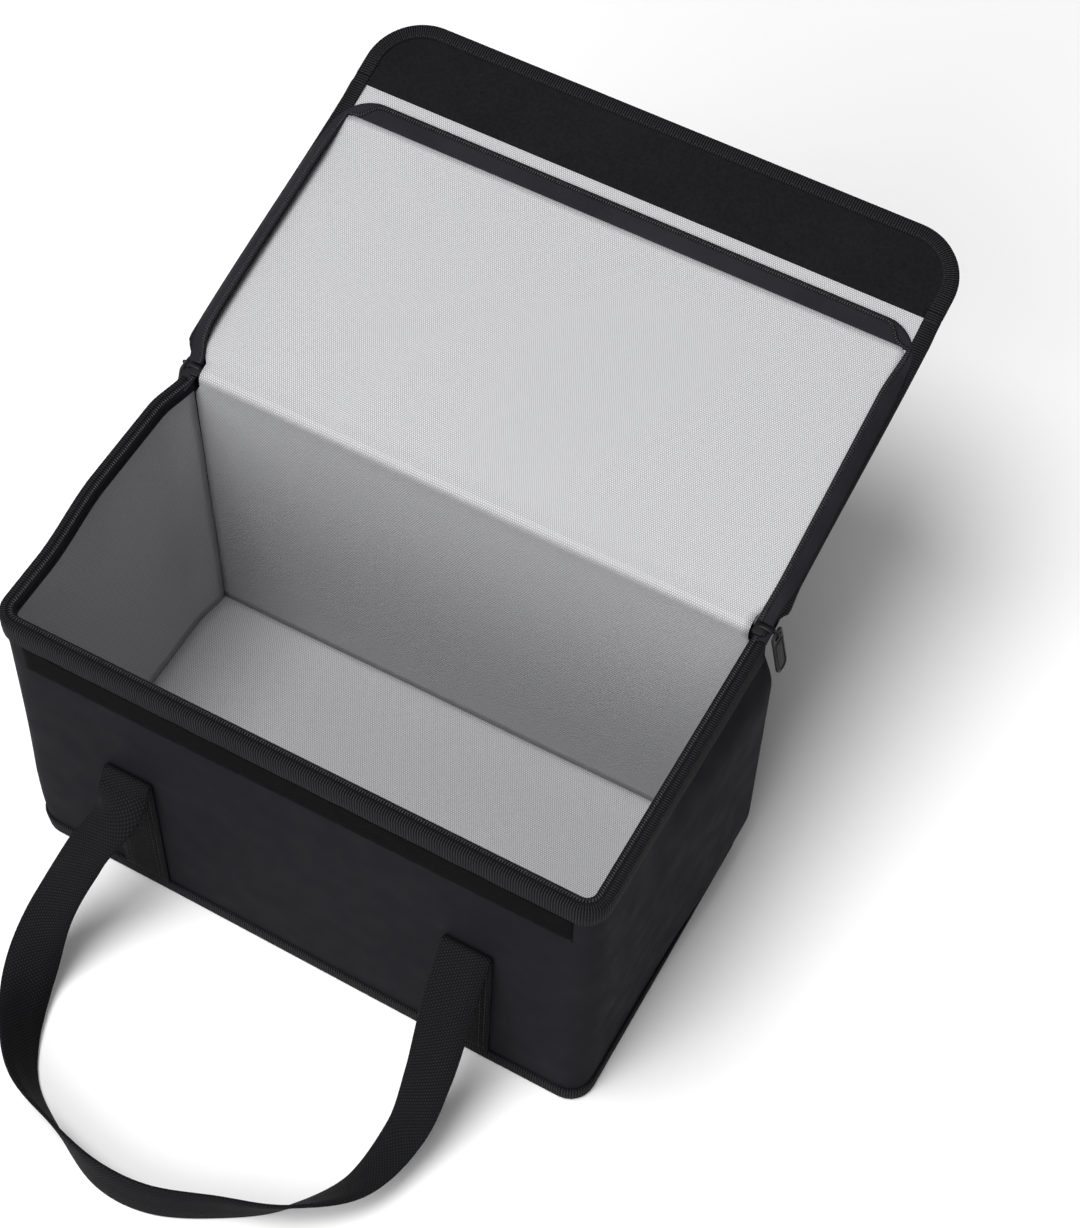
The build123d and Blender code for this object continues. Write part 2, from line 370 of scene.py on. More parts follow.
def swell(piece, held, pressure, limit, stiffness=12.0):
    """Swells a fabric face with Blender's Cloth. held says which vertices are sewn down.
    The furthest point moves by no more than limit, and the rest in proportion."""
    scene = bpy.context.scene
    rest = vertex_array(piece)
    group = piece.vertex_groups.new(name="sewn")
    group.add([int(i) for i in np.flatnonzero(held)], 1.0, "REPLACE")
    cloth = piece.modifiers.new("cloth", "CLOTH")
    settings = cloth.settings
    settings.vertex_group_mass = "sewn"
    settings.effector_weights.gravity = 0
    settings.use_pressure = True
    settings.uniform_pressure_force = pressure
    settings.tension_stiffness = stiffness
    settings.compression_stiffness = stiffness
    settings.bending_stiffness = 1.0
    cloth.point_cache.frame_start = 1
    cloth.point_cache.frame_end = CLOTH_FRAMES
    for number in range(1, CLOTH_FRAMES + 1):
        scene.frame_set(number)
    graph = bpy.context.evaluated_depsgraph_get()
    simulated = piece.evaluated_get(graph)
    moved = np.array([v.co for v in simulated.data.vertices], float) - rest
    piece.modifiers.remove(cloth)
    scene.frame_set(1)
    furthest = np.linalg.norm(moved, axis=1).max()
    moved *= min(1.0, limit / max(furthest, 1e-9))
    set_vertices(piece, rest + moved)
    return piece


def ribbon_section(width, thickness):
    """The section of webbing: flat faces and rounded edges."""
    half, side, edge = width / 2, thickness / 2, min(0.6 * MM, thickness / 2)
    upper = [(-half + edge, side), (-half / 3, side), (half / 3, side), (half - edge, side)]
    lower = [(x, -y) for x, y in reversed(upper)]
    return np.array(upper + [(half, 0.0)] + lower + [(-half, 0.0)])


def ribbon_points(centres, across, section):
    """Rows of a flat section along a line. across is the unit vector of its width at each point."""
    along = tangents(centres)
    across = across - (across * along).sum(1)[:, None] * along
    across /= np.linalg.norm(across, axis=1)[:, None]
    out = np.cross(along, across)
    return centres[:, None] + section[:, 0, None] * across[:, None] + section[:, 1, None] * out[:, None]


def catmull_rom(values, steps):
    """A smooth line through rows of values."""
    values = np.asarray(values, float)
    padded = np.concatenate([2 * values[:1] - values[1:2], values, 2 * values[-1:] - values[-2:-1]])
    rows = []
    for a, b, c, d in zip(padded, padded[1:], padded[2:], padded[3:]):
        square, cube = 2 * a - 5 * b + 4 * c - d, 3 * b - a - 3 * c + d
        for t in np.linspace(0, 1, steps, endpoint=False):
            rows.append(0.5 * (2 * b + (c - a) * t + square * t**2 + cube * t**3))
    rows.append(values[-1])
    return np.array(rows)


def tangents(points):
    """The direction of a line at each of its points."""
    along = np.gradient(points, axis=0)
    return along / np.linalg.norm(along, axis=1)[:, None]


def resample(points, step, *others):
    """Evenly spaced points on a line, and other rows that go with them."""
    length = running_length(points)
    count = max(2, round(length[-1] / step) + 1)
    places = np.linspace(0, length[-1], count)

    def at(rows):
        return np.stack([np.interp(places, length, rows[:, i]) for i in range(rows.shape[1])], 1)

    return [at(points)] + [at(rows) for rows in others]


def ring_section(count, first, second):
    """The corners of a regular section, in the plane of two directions at each point of a line."""
    turn = 2 * math.pi * np.arange(count)[None, :, None] / count
    return np.cos(turn) * first[:, None] + np.sin(turn) * second[:, None]


def coil_piece(name, centres, across, up, height):
    """A zipper coil: wire wound round a line, flattened to its width by height."""
    fine, across, up = resample(centres, COIL_PITCH / 8, across, up)
    across /= np.linalg.norm(across, axis=1)[:, None]
    up /= np.linalg.norm(up, axis=1)[:, None]
    turn = 2 * math.pi * np.arange(len(fine))[:, None] / 8
    half, rise_of_wire = COIL_WIDTH / 2 - COIL_WIRE, height / 2 - COIL_WIRE
    radial = across * half * np.cos(turn) + up * rise_of_wire * np.sin(turn)
    out = radial / np.linalg.norm(radial, axis=1)[:, None]
    section = COIL_WIRE * ring_section(5, tangents(fine), out)
    return grid_piece(name, (fine + radial)[:, None] + section, COIL, ring=True, caps=True)


STITCH = 2.6 * MM
STITCH_GAP = 1.2 * MM
THREAD_RADIUS = 0.32 * MM
# Along one stitch: how far along it is, how thick it is and how high it lies, the last two in radii.
STITCH_RINGS = ((0.0, 0.35, -0.6), (0.25, 1.0, 0.5), (0.75, 1.0, 0.5), (1.0, 0.35, -0.6))


def stitch_piece(name, lines):
    """Rows of thread stitches. Each line is a pair: points along it, and the way out of the cloth."""
    vertices, faces = [], []
    for points, outward in lines:
        points = np.asarray(points, float)
        outward = np.broadcast_to(np.asarray(outward, float), points.shape)
        even, out = resample(points, STITCH + STITCH_GAP, outward)
        for start, end, face in zip(even[:-1], even[1:], out[:-1]):
            along = (end - start) / np.linalg.norm(end - start)
            side = np.cross(along, face)
            side /= np.linalg.norm(side)
            face = np.cross(side, along)
            first = len(vertices)
            for place, size, lift in STITCH_RINGS:
                centre = start + along * place * STITCH + face * THREAD_RADIUS * lift
                for a, b in ((1, 0), (0, 1), (-1, 0), (0, -1)):
                    vertices.append(centre + THREAD_RADIUS * size * (a * side + b * face))
            for ring in range(3):
                for k in range(4):
                    low, high = first + 4 * ring, first + 4 * ring + 4
                    faces.append((low + k, low + (k + 1) % 4, high + (k + 1) % 4, high + k))
            faces.append(tuple(first + k for k in (3, 2, 1, 0)))
            faces.append(tuple(first + 12 + k for k in range(4)))
    return mesh_piece(name, vertices, faces, None, THREAD)


# ---------------------------------------------------------------- materials
class Nodes:
    """Short calls for building one material."""

    def __init__(self, name, roughness=0.6, specular=0.35, sheen=0.0, metallic=0.0):
        self.material = bpy.data.materials.new(name)
        self.material.use_nodes = True
        self.tree = self.material.node_tree
        self.shader = self.tree.nodes["Principled BSDF"]
        self.shader.inputs["Roughness"].default_value = roughness
        self.shader.inputs["Specular IOR Level"].default_value = specular
        self.shader.inputs["Sheen Weight"].default_value = sheen
        self.shader.inputs["Sheen Roughness"].default_value = 0.5
        self.shader.inputs["Metallic"].default_value = metallic
        coordinates = self.tree.nodes.new("ShaderNodeTexCoord")
        self.object_place = coordinates.outputs["Object"]
        split = self.tree.nodes.new("ShaderNodeSeparateXYZ")
        self.tree.links.new(coordinates.outputs["UV"], split.inputs[0])
        self.u, self.v = split.outputs[0], split.outputs[1]

    def put(self, value, socket):
        if isinstance(value, bpy.types.NodeSocket):
            self.tree.links.new(value, socket)
        else:
            socket.default_value = value

    def math(self, operation, *values):
        node = self.tree.nodes.new("ShaderNodeMath")
        node.operation = operation
        for value, socket in zip(values, node.inputs):
            self.put(value, socket)
        return node.outputs[0]

    def scaled(self, value, factor, added):
        return self.math("MULTIPLY_ADD", value, factor, added)

    def wave(self, place, pitch, phase=0.0):
        """A sine from 0 to 1 with that pitch along place."""
        turns = self.scaled(place, 2 * math.pi / pitch, phase)
        return self.scaled(self.math("SINE", turns), 0.5, 0.5)

    def noise(self, scale, detail=3.0, place=None):
        node = self.tree.nodes.new("ShaderNodeTexNoise")
        node.inputs["Scale"].default_value = scale
        node.inputs["Detail"].default_value = detail
        self.tree.links.new(place or self.object_place, node.inputs["Vector"])
        return node.outputs["Fac"]

    def ranged(self, value, low, high, to_low, to_high):
        node = self.tree.nodes.new("ShaderNodeMapRange")
        for socket, number in zip(node.inputs[1:5], (low, high, to_low, to_high)):
            socket.default_value = number
        self.tree.links.new(value, node.inputs[0])
        return node.outputs[0]

    def colours(self, factor, *painted_rib_light):
        """A colour ramp over factor. Each stop is a place and a colour."""
        node = self.tree.nodes.new("ShaderNodeValToRGB")
        ramp = node.color_ramp
        while len(ramp.elements) < len(painted_rib_light):
            ramp.elements.new(0.5)
        for element, (place, colour) in zip(ramp.elements, painted_rib_light):
            element.position = place
            element.color = (*colour, 1.0)
        self.tree.links.new(factor, node.inputs[0])
        return node.outputs[0]

    def bump(self, height, distance, strength=1.0):
        node = self.tree.nodes.new("ShaderNodeBump")
        node.inputs["Strength"].default_value = strength
        node.inputs["Distance"].default_value = distance
        self.tree.links.new(height, node.inputs["Height"])
        self.tree.links.new(node.outputs[0], self.shader.inputs["Normal"])

    def finish(self, colour, grain=None, smooth=0.0, rough=0.0):
        """Sets the colour, and a roughness that follows the grain from smooth to rough."""
        self.put(colour, self.shader.inputs["Base Color"])
        if grain is not None:
            roughness = self.ranged(grain, 0.3, 0.7, smooth, rough)
            self.put(roughness, self.shader.inputs["Roughness"])
        return self.material


def tinted(grey, blue=1.12):
    """A grey with its blue a little stronger."""
    return (grey, grey, grey * blue)


def oxford_material():
    """Black coated fabric: a fine plain weave, slightly cloudy, with a faint sheen."""
    n = Nodes("outer_fabric", specular=0.02)
    weave = n.math("MULTIPLY", n.wave(n.u, 0.9 * MM), n.wave(n.v, 0.9 * MM))
    cloud = n.noise(9.0, 2.0)
    shade = n.scaled(weave, 0.15, cloud)
    colour = n.colours(shade, (0.25, tinted(0.0102, 1.22)), (0.9, tinted(0.0124, 1.22)))
    n.bump(weave, 0.05 * MM, 0.6)
    return n.finish(colour, n.noise(60.0), 0.6, 0.72)


def ribbed_material(name, pitch, grey, depth):
    """Grosgrain tape with ribs across it: painted shade in its grooves and a painted highlight on its rib
    tops.
    """
    n = Nodes(name, specular=0.03, sheen=0.005)
    broken = n.scaled(n.wave(n.v, 2.6 * MM), 0.3, 0.7)
    ribs = n.math("MULTIPLY", n.wave(n.u, pitch), broken)
    fuzz = n.noise(900.0, 2.0)
    height = n.scaled(fuzz, 0.5, ribs)
    # The colour follows the ribs' height: the grooves darker as painted shade, the rib tops far lighter
    # as a painted highlight.
    painted_rib_light = (0.3, tinted(grey * 0.3)), (1.1 / 1.5, tinted(grey)), (1.0, tinted(grey * 2.4))
    colour = n.colours(height, *painted_rib_light)
    n.bump(height, depth)
    return n.finish(colour, fuzz, 0.6, 0.78)


def webbing_material():
    """Heavy webbing: rows of raised dots, every other row half a step along, with painted shade in the
    hollows between the dots.
    """
    n = Nodes("webbing", specular=0.03, sheen=0.005)
    row_width = 1.5 * MM
    row = n.math("FLOOR", n.math("DIVIDE", n.v, row_width))
    dots = n.wave(n.u, 2.2 * MM, n.math("MULTIPLY", row, math.pi))
    across = n.math("ABSOLUTE", n.math("SINE", n.math("MULTIPLY", n.v, math.pi / row_width)))
    height = n.math("MULTIPLY", dots, across)
    fuzz = n.noise(1100.0, 2.0)
    # Random fuzz plus the dots' height: the colour darkens in the hollows between the dots as painted
    # shade.
    lightening = n.scaled(fuzz, 0.35, height)
    colour = n.colours(lightening, (0.15, tinted(0.004)), (1.0, tinted(0.0155)))
    n.bump(height, 0.3 * MM, 0.9)
    return n.finish(colour, fuzz, 0.6, 0.8)


def lining_material():
    """Silver-grey coated lining: a six-sided lattice of raised dots, each dot coloured bright as a
    painted highlight.
    """
    n = Nodes("lining", specular=0.45, sheen=0.05)
    pitch = 1.3 * MM
    wave_number = 4 * math.pi / (math.sqrt(3) * pitch)
    total = n.math("COSINE", n.math("MULTIPLY", n.v, wave_number))
    for side in (-0.5, 0.5):
        rise = n.math("MULTIPLY", n.v, wave_number * side)
        slanted = n.scaled(n.u, wave_number * math.sqrt(3) / 2, rise)
        total = n.math("ADD", total, n.math("COSINE", slanted))
    lattice = n.ranged(total, -1.5, 3.0, 0.0, 1.0)
    grain = n.noise(700.0, 2.0)
    shade = n.scaled(grain, 0.35, lattice)
    # The lattice is the cloth's own pattern; its dots take the light end of these colours as a painted
    # highlight.
    painted_rib_light = (0.15, tinted(0.25, 1.03)), (0.5, tinted(0.35, 1.03)), (0.95, tinted(0.62, 1.02))
    colour = n.colours(shade, *painted_rib_light)
    n.bump(lattice, 0.12 * MM, 0.7)
    return n.finish(colour, grain, 0.42, 0.6)


def tape_material(name, share):
    """Zipper tape: fine slanted twill, its lightness a share of the lid's."""
    n = Nodes(name, specular=0.05, sheen=0.005)
    slant = n.math("ADD", n.u, n.v)
    twill = n.wave(slant, 0.9 * MM)
    cloud = n.noise(25.0)
    shade = n.scaled(twill, 0.4, cloud)
    colour = n.colours(shade, (0.3, tinted(0.010 * share, 1.2)), (1.0, tinted(0.020 * share, 1.2)))
    n.bump(twill, 0.08 * MM, 0.7)
    return n.finish(colour, n.noise(400.0), 0.55, 0.7)


def fuzzy_material(name, grey, scale, depth):
    """Touch fastener: a matte pile."""
    n = Nodes(name, specular=0.02, sheen=0.005)
    pile = n.noise(scale, 4.0)
    patches = n.noise(18.0)
    shade = n.scaled(patches, 0.5, pile)
    colour = n.colours(shade, (0.45, tinted(grey * 0.6)), (0.95, tinted(grey)))
    n.bump(pile, depth)
    return n.finish(colour, pile, 0.85, 0.95)


def coil_material():
    """The zipper's coil: smooth black nylon, with random lighter patches painted on as glints."""
    n = Nodes("zipper_teeth", specular=0.5)
    glint_noise = n.noise(300.0)
    # Lighter patches of noise along the coil are painted glints; the same noise varies the roughness.
    colour = n.colours(glint_noise, (0.3, tinted(0.008)), (0.7, tinted(0.02)))
    return n.finish(colour, glint_noise, 0.28, 0.42)


def painted_material(name, grey, rough):
    """Painted metal or moulded plastic, its edges rubbed a little lighter."""
    n = Nodes(name, specular=0.2)
    edges = n.tree.nodes.new("ShaderNodeNewGeometry").outputs["Pointiness"]
    speckle = n.noise(260.0, 4.0)
    lightening = n.math("ADD", n.ranged(edges, 0.5, 0.62, 0.0, 0.7), n.math("MULTIPLY", speckle, 0.35))
    colour = n.colours(lightening, (0.15, tinted(grey)), (0.95, tinted(grey * 2.4)))
    n.bump(speckle, 0.03 * MM, 0.5)
    return n.finish(colour, speckle, rough, rough + 0.15)


def thread_material():
    """Black sewing thread."""
    n = Nodes("thread", specular=0.3)
    twist = n.noise(1500.0, 1.0)
    colour = n.colours(twist, (0.3, tinted(0.008)), (0.7, tinted(0.018)))
    return n.finish(colour, twist, 0.5, 0.7)


OXFORD = oxford_material()
BINDING = ribbed_material("binding", pitch=1.5 * MM, grey=0.0108, depth=0.45 * MM)
WEBBING = webbing_material()
LINING_CLOTH = lining_material()
TAPE = tape_material("zipper_tape", share=1.0)
RIM_TAPE = tape_material("rim_zipper_tape", share=0.45)
HOOK = fuzzy_material("hook_panel", grey=0.0115, scale=500.0, depth=0.12 * MM)
LOOP = fuzzy_material("loop_strip", grey=0.0045, scale=700.0, depth=0.35 * MM)
COIL = coil_material()
PAINT = painted_material("slider", grey=0.006, rough=0.45)
TAB = painted_material("pull", grey=0.008, rough=0.5)
THREAD = thread_material()


# ---------------------------------------------------------------- camera, floor and light
CAMERA_PLACE = (0.41595, -0.63173, 1.37799)
CAMERA_RIGHT = (0.87676, 0.48054, 0.01912)
CAMERA_FORWARD = (-0.25043, 0.49013, -0.83490)
CAMERA_LENS = 77.07
# The sky's strength falls from left to right: its values at these two places along x.
SKY_PLACES = (-0.1, 0.9)
SKY_STRENGTHS = (0.38, 0.09)


def make_camera():
    """The photograph's view: from high on the front right, turned a little on its axis."""
    data = bpy.data.cameras.new("camera")
    data.lens = CAMERA_LENS
    data.sensor_width = 36
    camera = new_object("camera", data)
    bpy.context.scene.camera = camera
    right = Vector(CAMERA_RIGHT).normalized()
    forward = Vector(CAMERA_FORWARD).normalized()
    up = right.cross(forward)
    turn = Matrix((right, up, -forward)).transposed()
    camera.matrix_world = Matrix.Translation(CAMERA_PLACE) @ turn.to_4x4()
    data.clip_start, data.clip_end = 0.05, 30


def make_floor():
    """A plain pale floor, just under the base."""
    floor = Nodes("floor", roughness=0.8, specular=0.1)
    colour = floor.colours(floor.noise(3.0), (0.3, (0.93, 0.93, 0.93)), (0.7, (0.95, 0.95, 0.95)))
    material = floor.finish(colour)
    half, z = 4.0, -0.4 * MM
    corners = [(x * half, y * half, z) for x, y in ((-1, -1), (1, -1), (1, 1), (-1, 1))]
    piece = mesh_piece("floor", corners, [(0, 1, 2, 3)], None, material)


def make_area_light(name, place, target, size, power):
    data = bpy.data.lights.new(name, "AREA")
    data.shape = "DISK"
    data.size = size
    data.energy = power
    light = new_object(name, data)
    aim = Vector(target) - Vector(place)
    light.matrix_world = Matrix.Translation(place) @ aim.to_track_quat("-Z", "Y").to_matrix().to_4x4()


def make_lights():
    """A white sky that darkens to the right, a large light above and another in front."""
    world = bpy.data.worlds.new("studio")
    bpy.context.scene.world = world
    world.use_nodes = True
    nodes, links = world.node_tree.nodes, world.node_tree.links
    background = nodes["Background"]
    background.inputs["Color"].default_value = (1, 1, 1, 1)
    direction = nodes.new("ShaderNodeTexCoord")
    split = nodes.new("ShaderNodeSeparateXYZ")
    fade = nodes.new("ShaderNodeMapRange")
    for socket, number in zip(fade.inputs[1:5], SKY_PLACES + SKY_STRENGTHS):
        socket.default_value = number
    links.new(direction.outputs["Generated"], split.inputs[0])
    links.new(split.outputs["X"], fade.inputs[0])
    links.new(fade.outputs[0], background.inputs["Strength"])
    make_area_light("key", place=(-0.6, -0.8, 4.2), target=(0, 0.05, 0.1), size=2.2, power=140)
    make_area_light("front", place=(-0.3, -2.6, 1.8), target=(0, -0.1, 0.0), size=2.8, power=65)
    bpy.context.scene.view_settings.view_transform = "Standard"


# ---------------------------------------------------------------- body
def floor_rings(route, inset, z, rings):
    """A flat plate as rings that shrink to its middle, with its plan as UVs."""
    edge = route.points - inset * route.normals
    shares = np.linspace(1, 0.001, rings)
    plan = edge[:, None] * shares[None, :, None]
    return body_point(plan[..., 0], plan[..., 1], z), plan


def make_body_shell():
    """The outer fabric with its padding: one stiff, lightly swollen wall all round."""
    route = body_route(7 * MM)
    heights = np.linspace(0.3 * MM, WALL_TOP, 33)
    outer = np.stack([np.zeros(len(heights)), heights], 1)
    face = grid_piece("body_shell_face", swept_points(route, outer, body_point), OXFORD, loop=True)
    x, y, z = vertex_array(face).T
    on_end = (y < FRONT_Y + 1 * MM) | (y > BACK_Y - 1 * MM)
    sewn_leg = on_end & (abs(abs(x) - HANDLE_X) < 17 * MM) & (z < FOLD_Z + 2 * MM)
    sewn_strip = (y < FRONT_Y + 1 * MM) & (z > loop_low.z) & (abs(x) < loop_high.x + 4 * MM)
    back_corner = (abs(x) > HALF_WIDTH - BACK_RADIUS) & (y > SEAM_Y)
    held = (z < base_band_high.z + 1 * MM) | (z > band_low.z - 1 * MM)
    held |= sewn_leg | sewn_strip | back_corner
    swell(face, held, pressure=3.0, limit=2.2 * MM)
    swollen = vertex_array(face).reshape(len(route.points), len(heights), 3)
    bpy.data.objects.remove(face)
    inner = np.stack([np.full(12, -PADDED_WALL), np.linspace(WALL_TOP, 0.3 * MM, 12)], 1)
    inside = swept_points(route, inner, body_point)
    shell = grid_piece("body_shell", np.concatenate([swollen, inside], 1), OXFORD, ring=True, loop=True)
    turn_outwards(shell)
    subdivide(shell)
    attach(shell, "bag")
    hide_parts("outer_wall", "outer_back", "front_padding", "left_padding")
    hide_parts("right_padding", "back_padding")


def make_base_panel():
    """The padded base, as a flat slab inside the walls' lower edge."""
    route = body_route(7 * MM)
    low, plan = floor_rings(route, 0.2 * MM, 0.2 * MM, 14)
    high, _ = floor_rings(route, 4.9 * MM, 4.7 * MM, 14)
    points = np.concatenate([low[:, ::-1], high], 1)
    flat = np.concatenate([plan[:, ::-1], plan], 1)
    panel = grid_piece("base_panel", points, OXFORD, loop=True, flat=flat)
    turn_outwards(panel)
    put_on_body(panel, "bag", "outer_fabric", "outer_base", "base_padding")


def make_side_lining():
    """The grey lining of the front and both sides, gently rippled below the zipper tape."""
    route = body_route(6 * MM, closed=False)
    heights = np.linspace(LINING_FOOT, WALL_TOP - 0.5 * MM, 30)
    s, z = np.meshgrid(route.along, heights, indexing="ij")
    ripple = np.sin(s * 31 + 1.5 * np.sin(z * 24)) * np.sin(z * 17 + 0.8)
    ripple = 0.45 * MM * (ripple + 1) * rise(z - rim_low.z, -4, -54)
    points = swept_points(route, np.stack([-WALL - ripple, z], -1), body_point)
    lining = grid_piece("side_lining", points, LINING_CLOTH)
    thicken(lining, 1.0 * MM, 1.0)
    put_on_body(lining, "bag", "lining", "wall_lining")


def make_base_lining():
    """The grey lining on the base, a little uneven."""
    route = body_route(7 * MM)
    points, plan = floor_rings(route, 5.9 * MM, 5.9 * MM, 20)
    wave = np.sin(plan[..., 0] * 40) * np.sin(plan[..., 1] * 55)
    points[..., 2] += 0.25 * MM * wave
    lining = grid_piece("base_lining_sheet", points, LINING_CLOTH, loop=True, flat=plan)
    thicken(lining, SHEET, -1.0)
    put_on_body(lining, "bag", "lining", "base_lining")


def make_base_band():
    """Ribbed tape bound round the bottom edge."""
    profile = rounded_strip(1.6 * MM, -0.15 * MM, base_band_low.z + 0.1 * MM, base_band_high.z)
    points = swept_points(body_route(4 * MM), profile, body_point)
    band = grid_piece("base_band", points, BINDING, ring=True, loop=True)
    put_on_body(band, "bag", "binding", "base_binding")


def make_rim_band():
    """Ribbed tape round the outside of the rim, its lower edge a little uneven."""
    route = body_route(3 * MM, closed=False, end=TAPE_END)
    lower_edge = [(-0.15, 0.3), (0.2, 0.0), (1.2, 0.0), (1.6, 0.5)]
    over_rim = [
        (1.75, -7.0), (1.6, -0.8), (1.2, 0.5), (0.3, 1.2),
        (-2.2, 1.2), (-2.7, 0.9), (-2.7, 0.2), (-0.15, -1.5),
    ]
    profile = [(out * MM, band_low.z + up * MM) for out, up in lower_edge]
    profile = np.array(profile + [(out * MM, RIM + up * MM) for out, up in over_rim])
    profile = np.broadcast_to(profile, (len(route.points),) + profile.shape).copy()
    low = profile[..., 1] < band_low.z + 1.5 * MM
    uneven = 0.35 * MM * np.sin(route.along * 210) * np.sin(route.along * 37)
    profile[..., 1] += low * uneven[:, None]
    points = swept_points(route, profile, body_point)
    band = grid_piece("rim_band", points, BINDING, ring=True, caps=True)
    put_on_body(band, "bag", "binding", "rim_binding")


def make_rim_tape():
    """Zipper tape: over the top of the wall, and down inside as a dark band above the lining."""
    route = body_route(3 * MM, closed=False, end=TAPE_END)
    leg = np.linspace(RIM - 1.4 * MM, RIM - 5.5 * MM, 5)
    over = [(1.0 * MM, RIM - 0.2 * MM), (-2.0 * MM, RIM), (-5.6 * MM, RIM), (-6.5 * MM, RIM - 0.4 * MM)]
    profile = np.array(over + [(-6.9 * MM, z) for z in leg])
    tape = grid_piece("rim_tape", swept_points(route, profile, body_point), RIM_TAPE)
    thicken(tape, TAPE_SHEET, 1.0)
    put_on_body(tape, "bag", "zipper_tape", "rim_zipper_tape")


def make_rim_coil():
    """The zipper's coil along the top of the rim, as far back as the sliders."""
    route = body_route(2 * MM, closed=False, end=slider_low.y + 1.5 * MM)
    middle = (teeth_low.z + teeth_high.z) / 2 + 0.15 * MM
    centres = swept_points(route, [(-4.9 * MM, middle)], body_point)[:, 0]
    across = body_point(route.normals[:, 0], route.normals[:, 1], 0.0)
    up = np.broadcast_to((0.0, 0.0, 1.0), across.shape)
    coil = coil_piece("rim_coil", centres, across, up, 1.8 * MM)
    put_on_body(coil, "bag", "zipper_teeth", "rim_zipper_teeth")


def make_loop_strip():
    """The fuzzy half of the touch fastener, sewn under the front rim and a little round its corners."""
    route = body_route(3 * MM)
    middle = route.along[np.argmin(abs(route.points[:, 0]) + 10 * (route.points[:, 1] > 0))]
    near = np.abs(route.along - middle) < loop_high.x + LOOP_WRAP
    near &= route.points[:, 1] < 0
    strip_route = Route(route.points[near], route.normals[near])
    along = strip_route.along
    heights = np.linspace(loop_low.z, loop_high.z - 0.2 * MM, 9)
    edge = np.minimum(along, along[-1] - along)[:, None]
    edge = np.minimum(edge, heights - loop_low.z)
    puff = 1.3 * MM * rise(edge, -0.625, 1.875) + 0.12 * MM * RANDOM.standard_normal(edge.shape)
    front = np.stack([puff, np.broadcast_to(heights, edge.shape)], -1)
    back = np.stack([np.full_like(puff, -0.2 * MM), front[..., 1]], -1)[:, ::-1]
    points = swept_points(strip_route, np.concatenate([front, back], 1), body_point)
    strip = grid_piece("loop_strip", points, LOOP, ring=True, caps=True)
    put_on_body(strip, "bag", "touch_fastener", "front_loop_strip")


def make_anchor(side, face):
    """A handle's leg, sewn flat up the wall. side is -1 or 1 along X, face is -1 front or 1 back."""
    z = np.linspace(anchor_low.z, anchor_high.z, 28)
    wall_y = face * (BACK_Y + 0.15 * MM + WEB / 2)
    lift = 0.2 * MM * rise(z - anchor_high.z, -30, 0)
    centres = np.stack([np.full_like(z, side * HANDLE_X), wall_y + face * lift, z], 1)
    across = np.broadcast_to((1.0, 0.0, 0.0), centres.shape)
    if face < 0:
        centres[:, 1] -= front_lean(centres[:, 0], centres[:, 1], z)
    points = ribbon_points(centres, across, ribbon_section(WEB_WIDTH, WEB))
    name = ("front" if face < 0 else "back") + ("_left" if side < 0 else "_right")
    leg = grid_piece(name + "_leg", points, WEBBING, ring=True, caps=True)
    put_on_body(leg, "bag", "webbing", name + "_anchor")
    y = face * (BACK_Y + 0.15 * MM + WEB)
    out = (0.0, face, 0.0)
    low, high = anchor_low.z + 3 * MM, anchor_high.z - 8 * MM
    half = WEB_WIDTH / 2 - 3 * MM
    middle = side * HANDLE_X
    rows = []
    for x in (middle - half, middle - half + 3 * MM, middle + half - 3 * MM, middle + half):
        seam_z = np.linspace(low, high, 12)
        lean = front_lean(np.full(12, x), -BACK_Y, seam_z) if face < 0 else np.zeros(12)
        rows.append((np.stack([np.full(12, x), y - lean, seam_z], 1), out))
    rows.append(([(middle - half, y, high), (middle + half, y, high)], out))
    stitches = stitch_piece(name + "_stitches", rows)
    stitches.parent = leg


# ---------------------------------------------------------------- hinge and lid
BESIDE_SLIDER = 170.6 * MM  # half the lining's width where the sliders stand


def corner_half_width(v, half, end, radius):
    """Half the width of a slab at v, where its far corners are rounded."""
    past = np.clip(v - (end - radius), 0, radius)
    return half - (radius - np.sqrt(np.maximum(radius**2 - past**2, 0)))


def make_back_and_lid_lining():
    """One sheet of grey lining: up the back wall, over the fold and along the open lid."""
    wall_z = np.linspace(LINING_FOOT, 218 * MM, 34)
    wall_part = np.stack([np.full_like(wall_z, BACK_Y - WALL), wall_z], 1)
    fold_part = [(89.95, 221.0), (89.9, 223.4), (90.5, 225.4), (91.9, 226.8), (94.2, 227.45)]
    fold_part = np.array(fold_part) * MM
    v = np.linspace(2.2 * MM, LINING_END, 46)
    lid_part = lid_point(0.0, v, 0.05 * MM)[:, 1:]
    line = np.concatenate([wall_part, fold_part, lid_part])
    length = running_length(line)
    on_lid = np.concatenate([np.zeros(len(wall_part) + 2), [0.3, 0.6, 0.9], np.ones(len(v))])
    half = (HALF_WIDTH - WALL) * (1 - on_lid) + LINING_HALF_WIDTH * on_lid
    half = half - (half - BESIDE_SLIDER) * rise(length, 205, 213) * rise(length, 238, 228)
    v = np.concatenate([np.zeros(len(line) - len(v)), v])
    half = corner_half_width(v, half, LINING_END, 4 * MM)
    x = half[:, None] * np.linspace(-1, 1, 71)
    x = x - lid_flare(x, v[:, None])
    points = along_x(x, line)
    length = np.broadcast_to(length[:, None], x.shape)
    wall_wave = np.sin(x * 23) * np.sin(length * 19) * rise(length, 190, 140)
    points[..., 1] -= 0.3 * MM * (wall_wave + 1) * (length < 200 * MM)
    flat = np.stack([x, length], -1)
    sheet = grid_piece("back_and_lid_lining", points, LINING_CLOTH, flat=flat)
    thicken(sheet, SHEET, -1.0)
    tuple(lid_point(0.0, 8 * MM, 0.0))
    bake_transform(sheet)
    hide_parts("back_lining", "lid_lining")
    flat = (0.352, float(length[-1, 0]))


